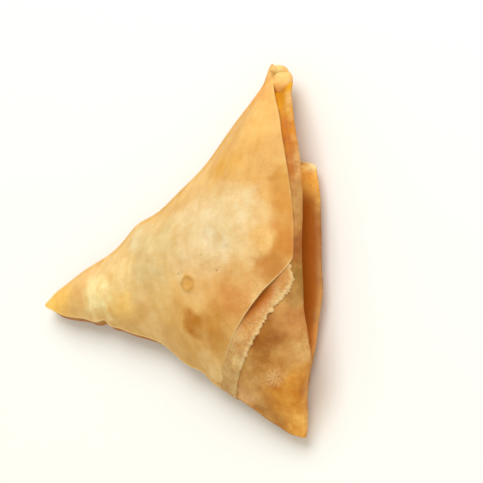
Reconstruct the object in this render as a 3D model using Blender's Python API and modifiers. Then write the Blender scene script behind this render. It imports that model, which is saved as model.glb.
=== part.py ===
"""Folded samosa: a three-pointed cushion of thin fried pastry.

Two sides are closed folds, the third is open between an upper and a lower lip. The last flap of the
pastry strip lies over the face, with a frayed under ply showing below its free edge. It lies on its
back with the flap side up. The frame's +Y runs along the open side towards the rolled tip, +Z is up.
"""

import math

import bmesh
import bpy
import numpy as np

MM = 0.001

# Corners of the triangle in plan (millimetres): the rolled tip, the sharp tip and the flat tip.
ROLLED_TIP = (34.6, 49.2)
SHARP_TIP = (-43.2, -1.9)
FLAT_TIP = (32.9, -48.8)
CORNER_CUT = (5.2, 3.4, 2.4)

# Bow of each side from the straight line, positive outwards.
BACK_SIDE_PULL = 6.7
FRONT_SIDE_PULL = 4.4
UPPER_LIP_BOW = 6.9
LOWER_LIP_BOW = 8.0

# Cushion.
RIM_HEIGHT = 5.4
RIM_HALF = 1.3
FACE_RISE = 12.3
LIP_SHARE = 0.38
BACK_DROP = 5.2
SIDE_REACH = 15.0
BODY_FLOOR = 0.4

# Open side.
GROOVE_DEPTH = 5.2
UNDERCUT = 1.15
LIP_THICKNESS = 2.1
LOWER_LIP_HEIGHT = 4.3
OPEN_FROM = 0.17
OPEN_FULL = 0.32
SHUT_FROM = 0.74
SHUT_FULL = 0.93

# Flap over the face.
FLAP_THICKNESS = 0.8
FLAP_BACK = 0.4
FLAP_KNEE = (37.7, -6.3)
FLAP_HEEL = (13.6, -31.8)

# Frayed under ply.
PLY_THICKNESS = 0.5
PLY_SHOW = 4.9
PLY_TUCK = 4.0
PLY_TEETH = 0.45

# Rolled end at the tip.
NUB_RADII = (2.3, 3.4, 2.2)

# Distance from the middle to the nearest side, about.
SHORT_WAY = 25.0


def smooth(low, high, value):
    """Eased step from 0 at low to 1 at high."""
    q = np.clip((np.asarray(value, dtype=float) - low) / (high - low), 0.0, 1.0)
    return q * q * (3.0 - 2.0 * q)


def hump(value, middle, width):
    """Round bump of height 1 at the middle."""
    return np.exp(-(((value - middle) / width) ** 2))


def back_side(t):
    """Bow of the closed side from the rolled tip to the sharp tip."""
    pull = BACK_SIDE_PULL * np.sin(math.pi * t**0.88) ** 1.3
    return -pull + 1.3 * hump(t, 0.61, 0.05)


def front_side(t):
    """Bow of the closed side from the sharp tip to the flat tip."""
    pull = FRONT_SIDE_PULL * np.sin(math.pi * t**0.8) ** 2.2
    ripple = 0.22 * np.sin(22.0 * t) * np.sin(math.pi * t)
    return -pull - 0.7 * hump(t, 0.235, 0.03) + ripple


def upper_lip(t):
    """Bow of the open side's upper lip, from the flat tip to the rolled tip."""
    bow = UPPER_LIP_BOW * np.sin(math.pi * t**1.3) ** 0.5
    return bow - 0.5 * hump(t, 0.42, 0.1) + 0.6 * hump(t, 0.88, 0.07)


def lower_lip(t):
    """Bow of the open side's lower lip; it steps back where its own flap ends."""
    bow = LOWER_LIP_BOW * np.sin(math.pi * t**1.35) ** 0.85
    return bow - 5.5 * smooth(0.715, 0.75, t) * smooth(1.0, 0.84, t)


CORNERS = [np.array(c) for c in (ROLLED_TIP, SHARP_TIP, FLAT_TIP)]
BOWS = (back_side, front_side, upper_lip)


def side_frame(index):
    """Start, direction, outward normal and length of a side of the triangle."""
    start = CORNERS[index]
    run = CORNERS[(index + 1) % 3] - start
    length = float(np.hypot(run[0], run[1]))
    along = run / length
    return start, along, np.array((along[1], -along[0])), length


def side_point(index, t, bow):
    """Plan point at fraction t of a side with its bow."""
    start, along, normal, length = side_frame(index)
    return start + along * (t * length) + normal * bow(np.clip(t, 0.0, 1.0))


def inside_depth(index, x, y):
    """How far a plan point lies inside one bowed side."""
    start, along, normal, length = side_frame(index)
    run = (x - start[0]) * along[0] + (y - start[1]) * along[1]
    out = (x - start[0]) * normal[0] + (y - start[1]) * normal[1]
    return BOWS[index](np.clip(run / length, 0.0, 1.0)) - out


def swell(x, y, lip_share):
    """Cushion swelling from 0 at the closed sides to 1 over the filling."""
    reach = [np.tanh(np.maximum(inside_depth(i, x, y), 0.0) / SIDE_REACH) for i in range(3)]
    return reach[0] * reach[1] * (lip_share + (1.0 - lip_share) * reach[2]) / 0.83


def rim_height(x, y):
    """Height of the middle of the closed edge; the two low tips droop a little."""
    droop = 0.0
    for tip in (SHARP_TIP, FLAT_TIP):
        droop = droop + 1.3 * np.exp(-((x - tip[0]) ** 2 + (y - tip[1]) ** 2) / 15.0**2)
    return RIM_HEIGHT - droop


def face_height(x, y):
    """Top of the body."""
    return rim_height(x, y) + RIM_HALF + FACE_RISE * swell(x, y, LIP_SHARE)


def back_height(x, y, floor):
    """Underside of the body, flat where it rests."""
    return np.maximum(floor, rim_height(x, y) - RIM_HALF - BACK_DROP * swell(x, y, 0.6))


def rounded_loop(pieces, cuts):
    """Closed plan loop through curved pieces, each corner eased by a small curve."""
    points = []
    for n, (curve, length, count) in enumerate(pieces):
        cut_in = cuts[n] / length
        cut_out = cuts[(n + 1) % len(cuts)] / length
        for t in np.linspace(cut_in, 1.0 - cut_out, count):
            points.append((curve(t), n, t))
        following, next_length, _ = pieces[(n + 1) % len(pieces)]
        leave = curve(1.0 - cut_out)
        arrive = following(cuts[(n + 1) % len(cuts)] / next_length)
        corner = curve(1.0)
        for q in (0.25, 0.5, 0.75):
            bend = (1 - q) ** 2 * leave + 2 * q * (1 - q) * corner + q * q * arrive
            points.append((bend, n, 1.0))
    return points


def loop_normals(points):
    """Outward plan normals of a closed counter-clockwise loop."""
    ahead = np.roll(points, -1, axis=0)
    behind = np.roll(points, 1, axis=0)
    run = ahead - behind
    run /= np.hypot(run[:, 0], run[:, 1])[:, None]
    return np.column_stack((run[:, 1], -run[:, 0]))


def outline_loop(pieces, cuts):
    """Plan points and outward normals of a closed outline, with the curve each point came from."""
    loop = rounded_loop(pieces, cuts)
    plan = np.array([p for p, _, _ in loop])
    return plan, loop_normals(plan), [(n, t) for _, n, t in loop]


def spine_points(plan, middle, tips):
    """Where each outline point's way to the middle bends: near a tip it first meets the tip's own spine."""
    targets = (plan + middle) / 2.0
    for tip in tips:
        run = middle - tip
        length = np.hypot(*run)
        share = 0.1 + 1.35 * np.maximum(0.0, (plan - tip) @ run / length) / length
        left = np.clip(1.0 - share, 0.0, 1.0)[:, None]
        targets = targets + (middle - run * left - targets) * 0.62 * smooth(0.0, 0.8, left)
    return targets


def tip_room(spot):
    """Share of the usual rim inset that fits near the two sharp tips."""
    near = min(np.hypot(*(spot - CORNERS[1])), np.hypot(*(spot - CORNERS[2])))
    return float(0.25 + 0.75 * smooth(0.5, 9.0, near))


def fan(plan, middle):
    """Evenly spread directions from the middle, one for each outline point."""
    first = plan[0] - middle
    turns = math.atan2(first[1], first[0]) + np.linspace(0.0, 2.0 * math.pi, len(plan), endpoint=False)
    return np.column_stack((np.cos(turns), np.sin(turns)))


def inward(rim, spine, heading, middle, r):
    """Point on the way from the middle (r = 0) to the rim (r = 1); it sets out along its own heading."""
    u = np.linspace(0.0, 1.0, 25)[:, None]
    way = rim * u * u + spine * 2.0 * u * (1.0 - u) + middle * (1.0 - u) ** 2
    gone = np.concatenate(([0.0], np.cumsum(np.hypot(*np.diff(way, axis=0).T))))
    short = min(gone[-1], SHORT_WAY)
    goal = short * r + (gone[-1] - short) * r**2.2
    spot = np.array((np.interp(goal, gone, way[:, 0]), np.interp(goal, gone, way[:, 1])))
    return spot + (middle + heading * (SHORT_WAY * r) - spot) * (1.0 - r) ** 2


def cushion(name, loop, centre, rings, place):
    """A sphere reshaped by longitude and latitude: place gives the point of each ring and station."""
    mesh = bpy.data.meshes.new(name)
    work = bmesh.new()
    count = len(loop)
    bmesh.ops.create_uvsphere(work, u_segments=count, v_segments=rings + 1, radius=1.0)
    for vertex in work.verts:
        x, y, z = vertex.co
        ring = round(math.acos(max(-1.0, min(1.0, z))) * (rings + 1) / math.pi)
        station = round(math.atan2(y, x) * count / (2.0 * math.pi)) % count
        vertex.co = [c * MM for c in place(ring, station, centre)]
    bmesh.ops.recalc_face_normals(work, faces=work.faces)
    work.to_mesh(mesh)
    work.free()
    return bpy.data.objects.new(name, mesh)


TOP_RINGS = (0.0, 0.18, 0.34, 0.48, 0.6, 0.71, 0.81, 0.89, 0.96)
BACK_RINGS = (0.94, 0.85, 0.74, 0.62, 0.49, 0.34, 0.18, 0.0)
EDGE_RINGS = 10


def body_solid(centre):
    """The filled body with its two closed folds, upper lip, groove and lower lip."""
    pieces = []
    for n, count in enumerate((36, 34, 38)):
        length = side_frame(n)[3]
        pieces.append(((lambda t, n=n: side_point(n, t, BOWS[n])), length, count))
    plan, normals, origin = outline_loop(pieces, CORNER_CUT)
    spread = [t if n == 2 else 0.0 for n, t in origin]
    ease = [float(smooth(OPEN_FROM, OPEN_FULL, t) * smooth(SHUT_FULL, SHUT_FROM, t)) for t in spread]
    lower = [lower_lip(np.array(t)) - upper_lip(np.array(t)) if t else 0.0 for t in spread]
    closed = [math.radians(90.0 - 180.0 * j / (EDGE_RINGS - 1)) for j in range(EDGE_RINGS)]
    spines = spine_points(plan, centre, CORNERS)
    headings = fan(plan, centre)
    room = [tip_room(spot) for spot in plan]

    def place(ring, station, middle):
        inner = plan[station] - normals[station] * RIM_HALF * room[station]
        if ring < len(TOP_RINGS):
            x, y = inward(inner, spines[station], headings[station], middle, TOP_RINGS[ring])
            return x, y, float(face_height(x, y))
        edge = ring - len(TOP_RINGS)
        if edge >= EDGE_RINGS:
            x, y = inward(inner, spines[station], headings[station], middle, BACK_RINGS[edge - EDGE_RINGS])
            return x, y, float(back_height(x, y, BODY_FLOOR))
        rim = float(rim_height(*inner))
        top = float(face_height(*inner))
        tuck = UNDERCUT * max(0.0, top - rim - RIM_HALF) * float(smooth(0.6, 0.8, spread[station]))
        shut_out = RIM_HALF * math.cos(closed[edge]) - tuck * min(1.0, edge / 3.0)
        shut_high = rim + RIM_HALF * math.sin(closed[edge])
        if edge == 0:
            shut_high = top
        gap = top - LOWER_LIP_HEIGHT
        far = RIM_HALF + lower[station]
        opened = (
            (0.0, top),
            (RIM_HALF * 0.8, top - 0.35),
            (RIM_HALF, top - 1.1),
            (RIM_HALF * 0.6, top - LIP_THICKNESS),
            (-GROOVE_DEPTH * 0.45, top - LIP_THICKNESS - 0.14 * gap),
            (-GROOVE_DEPTH, LOWER_LIP_HEIGHT + 0.28 * gap),
            (-GROOVE_DEPTH * 0.35, LOWER_LIP_HEIGHT + 0.1 * gap),
            (far - 0.4, LOWER_LIP_HEIGHT),
            (far, LOWER_LIP_HEIGHT - 0.8),
            (0.0, LOWER_LIP_HEIGHT - 1.9),
        )[edge]
        share = ease[station]
        out = shut_out * (1.0 - share) + opened[0] * share
        high = shut_high * (1.0 - share) + opened[1] * share
        x, y = inner + normals[station] * out
        return x, y, high

    return cushion("samosa", plan, centre, len(TOP_RINGS) + EDGE_RINGS + len(BACK_RINGS) - 2, place)


def flap_fold(t):
    """Flap's folded edge in plan, from the knee up to the rolled tip."""
    start = np.array(FLAP_KNEE)
    run = CORNERS[0] + np.array((-2.4, -0.4)) - start
    side = np.array((run[1], -run[0])) / np.hypot(*run)
    return start + run * t + side * 2.7 * math.sin(math.pi * t) ** 0.8


def flap_edge(t):
    """Flap's free edge in plan, from the heel on the front side up to the knee."""
    start = np.array(FLAP_HEEL)
    run = np.array(FLAP_KNEE) - start
    side = np.array((run[1], -run[0])) / np.hypot(*run)
    return start + run * t + side * 0.7 * math.sin(math.pi * t)


def flap_solid(centre):
    """The last flap of the strip: over the face and hooked round the two closed folds."""
    heel = 0.71
    pieces = [
        ((lambda t: side_point(0, t, back_side)), side_frame(0)[3], 34),
        ((lambda t: side_point(1, t * heel, front_side)), side_frame(1)[3] * heel, 26),
        (flap_edge, 35.0, 16),
        (flap_fold, 54.0, 20),
    ]
    plan, normals, origin = outline_loop(pieces, (4.2, 3.4, 1.6, 3.0))
    hooked = ((0.12, 0.03), (2.0, 1.0), (0.0, 0.15), (-1.0, 0.0))
    free = [float(smooth(*hooked[n], t)) for n, t in origin]
    wall = RIM_HALF + FLAP_BACK
    turns = [math.radians(90.0 - 180.0 * j / (EDGE_RINGS - 1)) for j in range(EDGE_RINGS)]
    under = (0.96, 0.91, 0.84, 0.72, 0.52, 0.28, 0.0)
    spines = spine_points(plan, centre, CORNERS[:2])
    headings = fan(plan, centre)

    def place(ring, station, middle):
        share = free[station]
        room = min(tip_room(plan[station]), float(smooth(1.0, 11.0, np.hypot(*(plan[station] - CORNERS[0])))))
        inner = plan[station] - normals[station] * (RIM_HALF * (1.0 - share) + 0.4 * share) * room
        face = float(face_height(*inner))
        if ring < len(TOP_RINGS):
            r = TOP_RINGS[ring]
            x, y = inward(inner, spines[station], headings[station], middle, r)
            lift = FLAP_THICKNESS + (FLAP_BACK - FLAP_THICKNESS) * (1.0 - share) * r**6
            return x, y, float(face_height(x, y)) + lift
        edge = ring - len(TOP_RINGS)
        if edge >= EDGE_RINGS:
            step = edge - EDGE_RINGS
            x, y = inward(inner, spines[station], headings[station], middle, under[step])
            hidden = float(face_height(x, y)) - 1.15
            hook = float(back_height(x, y, BODY_FLOOR)) + (-FLAP_BACK, 0.5)[min(step, 1)]
            if step > 1:
                hook = hidden
            return x, y, hidden * share + hook * (1.0 - share)
        turn = turns[edge]
        shut_out = wall * math.cos(turn)
        shut_high = float(rim_height(*inner)) + wall * math.sin(turn)
        if edge == 0:
            shut_high = face + FLAP_BACK
        open_out = 0.4 * math.cos(turn)
        open_high = face - 0.1 + (FLAP_THICKNESS + 0.1) * math.sin(turn)
        x, y = inner + normals[station] * (shut_out * (1.0 - share) + open_out * share)
        return x, y, shut_high * (1.0 - share) + open_high * share

    return cushion("flap", plan, centre, len(TOP_RINGS) + EDGE_RINGS + len(under) - 2, place)


def under_flap_solid(centre):
    """Earlier flap on the underside; the whole rests on its flat middle."""
    reach = 0.78
    foot = side_point(1, reach, front_side)
    head = side_point(0, 0.06, back_side)

    def back_edge(t):
        run = head - foot
        side = np.array((run[1], -run[0])) / np.hypot(*run)
        return foot + run * t + side * 3.0 * math.sin(math.pi * t)

    pieces = [
        ((lambda t: side_point(0, 0.06 + 0.94 * t, back_side)), side_frame(0)[3] * 0.94, 24),
        ((lambda t: side_point(1, t * reach, front_side)), side_frame(1)[3] * reach, 22),
        (back_edge, 76.0, 22),
    ]
    plan, normals, _ = outline_loop(pieces, (8.0, 9.0, 8.0))
    rings = (0.0, 0.25, 0.5, 0.7, 0.84, 0.93)
    bevel = ((0.0, 0.7), (0.1, 0.1), (0.0, -0.25), (-0.3, -FLAP_BACK))
    spines = spine_points(plan, centre, (head, CORNERS[1], foot))
    headings = fan(plan, centre)

    def place(ring, station, middle):
        room = float(smooth(3.0, 24.0, np.hypot(*(plan[station] - head))))
        inner = plan[station] - normals[station] * (0.2 + 1.7 * room)
        if ring < len(rings):
            x, y = inward(inner, spines[station], headings[station], middle, rings[ring])
            return x, y, float(back_height(x, y, BODY_FLOOR)) + 0.8
        edge = ring - len(rings)
        if edge < len(bevel):
            out, drop = bevel[edge]
            x, y = inner + normals[station] * out
            return x, y, float(back_height(x, y, BODY_FLOOR)) + drop
        x, y = inward(inner, spines[station], headings[station], middle, rings[len(rings) - 1 - (edge - len(bevel))])
        return x, y, float(back_height(x, y, BODY_FLOOR)) - FLAP_BACK

    return cushion("under_flap", plan, centre, 2 * len(rings) + len(bevel) - 2, place)


def ply_solid():
    """The frayed strip of under ply that shows below the flap's free edge."""
    mesh = bpy.data.meshes.new("ply")
    work = bmesh.new()
    stations = 48
    bmesh.ops.create_grid(work, x_segments=stations, y_segments=6, size=1.0)
    for vertex in work.verts:
        t = (1.0 - vertex.co.x) / 2.0
        across = (vertex.co.y + 1.0) / 2.0
        here = flap_edge(t)
        ahead = flap_edge(min(t + 0.01, 1.01)) - flap_edge(t - 0.01)
        out = np.array((ahead[1], -ahead[0])) / np.hypot(*ahead)
        show = PLY_SHOW * (0.35 + 0.65 * math.sin(math.pi * min(max(t * 0.93 + 0.03, 0.0), 1.0)) ** 0.6)
        teeth = PLY_TEETH * (math.sin(61.0 * t) + 0.6 * math.sin(97.0 * t + 1.0)) * float(smooth(0.1, 0.4, t))
        x, y = here + out * (-PLY_TUCK + across * (PLY_TUCK + show + teeth))
        vertex.co = (x * MM, y * MM, (float(face_height(x, y)) + PLY_THICKNESS) * MM)
    work.to_mesh(mesh)
    work.free()
    strip = bpy.data.objects.new("ply", mesh)
    thick = strip.modifiers.new("thick", "SOLIDIFY")
    thick.thickness = (PLY_THICKNESS + 0.7) * MM
    thick.offset = -1.0
    return strip


def nub_solid():
    """The little rolled end standing at the tip."""
    mesh = bpy.data.meshes.new("nub")
    work = bmesh.new()
    bmesh.ops.create_uvsphere(work, u_segments=20, v_segments=12, radius=1.0)
    tip = np.array(ROLLED_TIP) + np.array((0.2, -4.0))
    high = float(face_height(*tip)) - 1.0
    for vertex in work.verts:
        x, y, z = (c * r for c, r in zip(vertex.co, NUB_RADII))
        vertex.co = ((x + tip[0] + 0.12 * y) * MM, (y + tip[1]) * MM, (z + high) * MM)
    work.to_mesh(mesh)
    work.free()
    return bpy.data.objects.new("nub", mesh)


def join(body, cutter):
    """Union of a cutter into the body."""
    union = body.modifiers.new("join_" + cutter.name, "BOOLEAN")
    union.operation = "UNION"
    union.solver = "EXACT"
    union.object = cutter
    cutter.hide_render = True
    cutter.display_type = "WIRE"


def settle(thing, offset):
    """Shift a mesh so that the whole stands centred over the origin."""
    for vertex in thing.data.vertices:
        vertex.co.x -= offset[0]
        vertex.co.y -= offset[1]


def pastry():
    """Fried pastry colour of the whole."""
    material = bpy.data.materials.new("fried_pastry")
    material.use_nodes = True
    shader = material.node_tree.nodes["Principled BSDF"]
    shader.inputs["Base Color"].default_value = (0.72, 0.43, 0.17, 1.0)
    shader.inputs["Roughness"].default_value = 0.5
    return material


def main():
    for thing in list(bpy.data.objects):
        bpy.data.objects.remove(thing, do_unlink=True)
    for old in list(bpy.data.collections):
        bpy.data.collections.remove(old)
    shown = bpy.data.collections.new("folded_samosa")
    helpers = bpy.data.collections.new("joining_pieces")
    bpy.context.scene.collection.children.link(shown)
    bpy.context.scene.collection.children.link(helpers)
    centre = np.array((9.0, -1.0))
    body = body_solid(centre)
    flap = flap_solid(centre - np.array((3.0, 0.0)))
    under_flap = under_flap_solid(centre - np.array((7.0, 2.0)))
    ply = ply_solid()
    nub = nub_solid()
    corners = np.array([v.co[:2] for thing in (body, flap, nub) for v in thing.data.vertices])
    offset = (corners.min(axis=0) + corners.max(axis=0)) / 2.0
    for thing in (body, flap, under_flap, ply, nub):
        settle(thing, offset)
    shown.objects.link(body)
    for helper in (under_flap, ply, flap, nub):
        helpers.objects.link(helper)
        join(body, helper)
    body.data.materials.append(pastry())
    for polygon in body.data.polygons:
        polygon.use_smooth = True


main()
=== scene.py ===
"""Folded samosa: the looks of a parcel of thin fried pastry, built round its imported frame.

The pieces are the parcel with its open side, the last flap of the pastry strip over the face, the frayed
ply below the flap's free edge, the rolled nub at the tip with a curl of pastry over it, and the earlier
flap on the underside.
"""

import math

import bpy
import numpy as np
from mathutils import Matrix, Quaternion, Vector


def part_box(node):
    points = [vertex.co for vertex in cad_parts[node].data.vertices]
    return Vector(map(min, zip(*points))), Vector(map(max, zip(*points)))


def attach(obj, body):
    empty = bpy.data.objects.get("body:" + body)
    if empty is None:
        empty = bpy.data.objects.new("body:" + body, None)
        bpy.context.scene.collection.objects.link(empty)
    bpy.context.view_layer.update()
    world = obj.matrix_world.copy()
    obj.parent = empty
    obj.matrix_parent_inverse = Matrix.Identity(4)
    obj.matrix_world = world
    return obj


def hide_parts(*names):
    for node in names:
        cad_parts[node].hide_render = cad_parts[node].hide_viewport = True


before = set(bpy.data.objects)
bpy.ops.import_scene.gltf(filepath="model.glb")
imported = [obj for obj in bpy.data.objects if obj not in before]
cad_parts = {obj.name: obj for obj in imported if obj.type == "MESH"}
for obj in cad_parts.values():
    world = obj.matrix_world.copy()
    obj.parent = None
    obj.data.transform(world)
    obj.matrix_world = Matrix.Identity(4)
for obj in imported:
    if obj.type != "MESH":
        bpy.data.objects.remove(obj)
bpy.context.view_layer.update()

MM = 0.001
BODY = "root"
NODE = "samosa"

# Everything below is in millimetres in the part's frame: +Y runs along the open side to the rolled tip,
# +X out of the open side, +Z out of the face. The tips are measured in from the sides of the CAD's box.
LOW, HIGH = (np.array(corner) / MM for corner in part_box(NODE))
ROLLED_TIP = (HIGH[0] - 7.3, HIGH[1] + 1.7)
SHARP_TIP = (LOW[0] - 2.1, LOW[1] + 46.2)
FLAT_TIP = (HIGH[0] - 8.5, LOW[1] - 1.0)
FINGER_TIP = (HIGH[0] - 9.5, HIGH[1] + 2.9)
TIP_EASE = (4.2, 2.4, 1.0)
MIDDLE = np.array((9.5, -0.9))
SIDE_SHARES = (0.33, 0.32, 0.35)

# Cushion of filling.
RIM_HEIGHT = 5.4
RIM_HALF = 1.2
FACE_RISE = 12.3
LIP_SHARE = 0.38
BACK_DROP = 5.2
SIDE_REACH = 15.0
BACK_FLOOR = 0.4

# Open side.
GROOVE_DEPTH = 6.0
LIP_THICKNESS = 1.5
LOWER_LIP_HEIGHT = 4.3
OPEN_FROM = 0.12
OPEN_FULL = 0.2
SHUT_FROM = 0.92
SHUT_FULL = 0.985
OVERHANG = 3.3
FOOT_BACK = 2.0

# Last flap of the strip.
FLAP_KNEE = (38.0, -6.5)
FLAP_HEEL = (14.1, -31.7)
HEEL_SHARE = 0.71
FLAP_LAYER = 0.65
FLAP_WRAP = 0.4
FOLD_LENGTH = 54.0
FREE_LIFT = 1.25
GUTTER_DEPTH = 1.1

# Frayed ply.
PLY_THICKNESS = 0.5
PLY_SHOW = 5.0
PLY_NARROWS = 2.0
PLY_TUCK = 5.5
PLY_BEND = 1.5

# Rolled nub at the tip, the dip it sits in and the curl of pastry over it.
NUB = (ROLLED_TIP[0] + 0.1, ROLLED_TIP[1] - 5.6, RIM_HEIGHT + 1.0)
NUB_RADII = (3.0, 3.5, 2.3)
NUB_SEAT = (ROLLED_TIP[0] + 0.9, ROLLED_TIP[1] - 5.6)
NUB_SEAT_DEPTH = 1.9
NUB_SEAT_REACH = 3.6
CURL = (FINGER_TIP[0] + 2.2, FINGER_TIP[1] - 3.45, RIM_HEIGHT + 1.9)
CURL_HALF_LENGTH = 2.5
CURL_RADIUS = 1.3

# Blisters that stand up from the skin.
RING_BLISTER = (10.4, -7.8)
ROSETTE = (30.7, -34.7)
RIPPLE = (32.2, -38.2)

# How finely the skins are meshed.
STATIONS = 440
TOP_RINGS = 84
EDGE_RINGS = 26
BACK_RINGS = 40
SHORT_WAY = 25.0

# Camera: place and aim in metres, lens in millimetres, roll in degrees.
CAMERA_PLACE = (0.2646, -0.1274, 0.4569)
CAMERA_AIM = (0.0210, 0.0036, 0.0080)
CAMERA_LENS = 150.0
CAMERA_ROLL = -68.9


# ------------ shaping rules


def smooth(low, high, value):
    """Eased step from 0 at low to 1 at high."""
    q = np.clip((np.asarray(value, dtype=float) - low) / (high - low), 0.0, 1.0)
    return q * q * (3.0 - 2.0 * q)


def hump(value, middle, width):
    """Round bump of height 1 at the middle."""
    return np.exp(-(((value - middle) / width) ** 2))


def chance(column, row, seed):
    """Repeatable number from 0 to 1 for a cell."""
    mixed = np.sin(column * 127.1 + row * 311.7 + seed * 74.7) * 43758.5453
    return mixed - np.floor(mixed)


def lumps(x, y, size, seed):
    """Soft unevenness from -1 to 1, its lumps about one size across."""
    column, row = np.floor(x / size), np.floor(y / size)
    u, v = x / size - column, y / size - row
    u, v = u * u * (3.0 - 2.0 * u), v * v * (3.0 - 2.0 * v)
    near = chance(column, row, seed) * (1 - u) + chance(column + 1, row, seed) * u
    far = chance(column, row + 1, seed) * (1 - u) + chance(column + 1, row + 1, seed) * u
    return (near * (1 - v) + far * v) * 2.0 - 1.0


def back_side(t):
    """Bow of the closed side from the rolled tip to the sharp tip."""
    pull = 6.7 * np.sin(math.pi * t**0.88) ** 1.3 + 0.7 * hump(t, 0.72, 0.07)
    waves = 0.55 * hump(t, 0.2, 0.08) + 1.3 * hump(t, 0.61, 0.05) + 0.4 * hump(t, 0.94, 0.03)
    return -pull + waves + 0.16 * np.sin(31.0 * t) * np.sin(math.pi * t)


def front_side(t):
    """Bow of the closed side from the sharp tip to the flat tip."""
    pull = 4.4 * np.sin(math.pi * t**0.8) ** 2.2
    ripple = (0.2 * np.sin(22.0 * t) + 0.12 * np.sin(57.0 * t + 1.0)) * np.sin(math.pi * t)
    pinch = 0.25 * hump(t, 0.205, 0.02) - hump(t, 0.243, 0.016) + 0.3 * hump(t, 0.28, 0.02)
    waves = 0.5 * hump(t, 0.09, 0.05) - 0.5 * hump(t, 0.36, 0.1) - hump(t, 0.45, 0.05)
    waves = waves - 0.7 * hump(t, 0.63, 0.035) + 0.4 * hump(t, 0.88, 0.06) + 0.7 * hump(t, 0.95, 0.035)
    return -pull + waves + pinch + ripple


def upper_lip(t):
    """Bow of the open side's upper lip, from the flat tip to the rolled tip."""
    bow = 6.9 * np.sin(math.pi * t**1.3) ** 0.55 * (1.0 - 0.56 * hump(t, 0.05, 0.12)) + overhang(t)
    out = 0.4 * hump(t, 0.07, 0.03) + 0.9 * hump(t, 0.26, 0.05)
    back = 0.5 * hump(t, 0.42, 0.1) + 0.45 * hump(t, 0.81, 0.07)
    return bow + out - back


def overhang(t):
    """How far the upper lip reaches over the groove's foot."""
    return OVERHANG * hump(t, 0.168, 0.068)


def lower_lip(t):
    """Bow of the open side's lower lip; its own flap ends short of the rolled tip."""
    return 8.0 * np.sin(math.pi * t**1.35) ** 0.85 + 0.9 * hump(t, 0.36, 0.09) + 0.3 * hump(t, 0.23, 0.045)


def tuck(t):
    """How far the underside stands back under the open side's closed end by the flat tip."""
    return 0.9 * smooth(0.02, 0.08, t) * smooth(0.42, 0.28, t)


def recess(t):
    """How far the lower layers stand back under the upper lip beyond the end of the lower lip."""
    return smooth(0.705, 0.755, t) * np.minimum(7.0, 30.0 * (1.0 - t))


TIPS = [np.array(tip) for tip in (ROLLED_TIP, SHARP_TIP, FLAT_TIP)]
BOWS = (back_side, front_side, upper_lip)
FOLD_TOP = np.array(FINGER_TIP)


def side_frame(index):
    """Start, direction, outward normal and length of a side of the triangle."""
    start = TIPS[index]
    run = TIPS[(index + 1) % 3] - start
    length = float(np.hypot(run[0], run[1]))
    along = run / length
    return start, along, np.array((along[1], -along[0])), length


def side_point(index, t):
    """Plan point at a fraction of a bowed side."""
    start, along, normal, length = side_frame(index)
    return start + along * (t * length) + normal * BOWS[index](np.clip(t, 0.0, 1.0))


def inside_depth(index, x, y):
    """How far a plan point lies inside one bowed side."""
    start, along, normal, length = side_frame(index)
    run = (x - start[0]) * along[0] + (y - start[1]) * along[1]
    out = (x - start[0]) * normal[0] + (y - start[1]) * normal[1]
    return BOWS[index](np.clip(run / length, 0.0, 1.0)) - out


def chord_place(start, end, x, y):
    """Fraction along a straight line and distance to its left."""
    run = np.array(end) - np.array(start)
    length = float(np.hypot(*run))
    ahead = ((x - start[0]) * run[0] + (y - start[1]) * run[1]) / length
    left = ((y - start[1]) * run[0] - (x - start[0]) * run[1]) / length
    return ahead / length, left


def flap_edge(t):
    """Flap's free edge in plan, from the heel on the front side up to the knee."""
    start = np.array(FLAP_HEEL)
    run = np.array(FLAP_KNEE) - start
    side = np.array((run[1], -run[0])) / np.hypot(*run)
    return start + run * t + side * 0.1 * math.sin(math.pi * t)


def flap_fold(t):
    """Flap's folded edge in plan, from the knee up to the rolled tip."""
    start = np.array(FLAP_KNEE)
    run = FOLD_TOP - start
    side = np.array((run[1], -run[0])) / np.hypot(*run)
    return start + run * t + side * fold_bow(t)


def fold_bow(t):
    """Bow of the flap's folded edge from the straight line."""
    bow = 3.0 * np.sin(math.pi * np.clip(t, 0.0, 1.0) ** 0.7) ** 0.9
    return bow + 0.25 * hump(t, 0.68, 0.08) - 0.8 * hump(t, 0.88, 0.1) * smooth(1.0, 0.94, t)


def inside_fold(x, y):
    """Fraction along the flap's folded edge and how far a plan point lies inside it."""
    t, left = chord_place(FLAP_KNEE, FOLD_TOP, x, y)
    return t, left + fold_bow(t)


# ------------ heights


def swell(x, y, lip_share):
    """Cushion swelling from 0 at the closed sides to 1 over the filling."""
    reach = [np.tanh(np.maximum(inside_depth(i, x, y), 0.0) / SIDE_REACH) for i in range(3)]
    return reach[0] * reach[1] * (lip_share + (1.0 - lip_share) * reach[2]) / 0.83


def rim_height(x, y):
    """Height of the middle of the closed edge; the two low tips droop a little."""
    droop = 0.0
    for tip in (SHARP_TIP, FLAT_TIP):
        droop = droop + 1.3 * np.exp(-((x - tip[0]) ** 2 + (y - tip[1]) ** 2) / 15.0**2)
    return RIM_HEIGHT - droop


def edge_half(x, y):
    """Half the thickness of the closed edge, which thins out into the three tips."""
    near = np.min([np.hypot(x - tip[0], y - tip[1]) for tip in TIPS], axis=0)
    return RIM_HALF * (0.4 + 0.6 * smooth(1.0, 11.0, near))


def filling(x, y):
    """Bulges of the filling that show through the pastry."""
    amount = smooth(1.0, 12.0, inside_depth(0, x, y)) * smooth(1.0, 10.0, inside_depth(1, x, y))
    return amount * (0.42 * lumps(x, y, 11.0, 1) + 0.2 * lumps(x, y, 5.2, 2) + 0.07 * lumps(x, y, 2.3, 3))


def face_height(x, y):
    """Top of the parcel under the flap."""
    return rim_height(x, y) + edge_half(x, y) + FACE_RISE * swell(x, y, LIP_SHARE) + filling(x, y)


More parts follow.
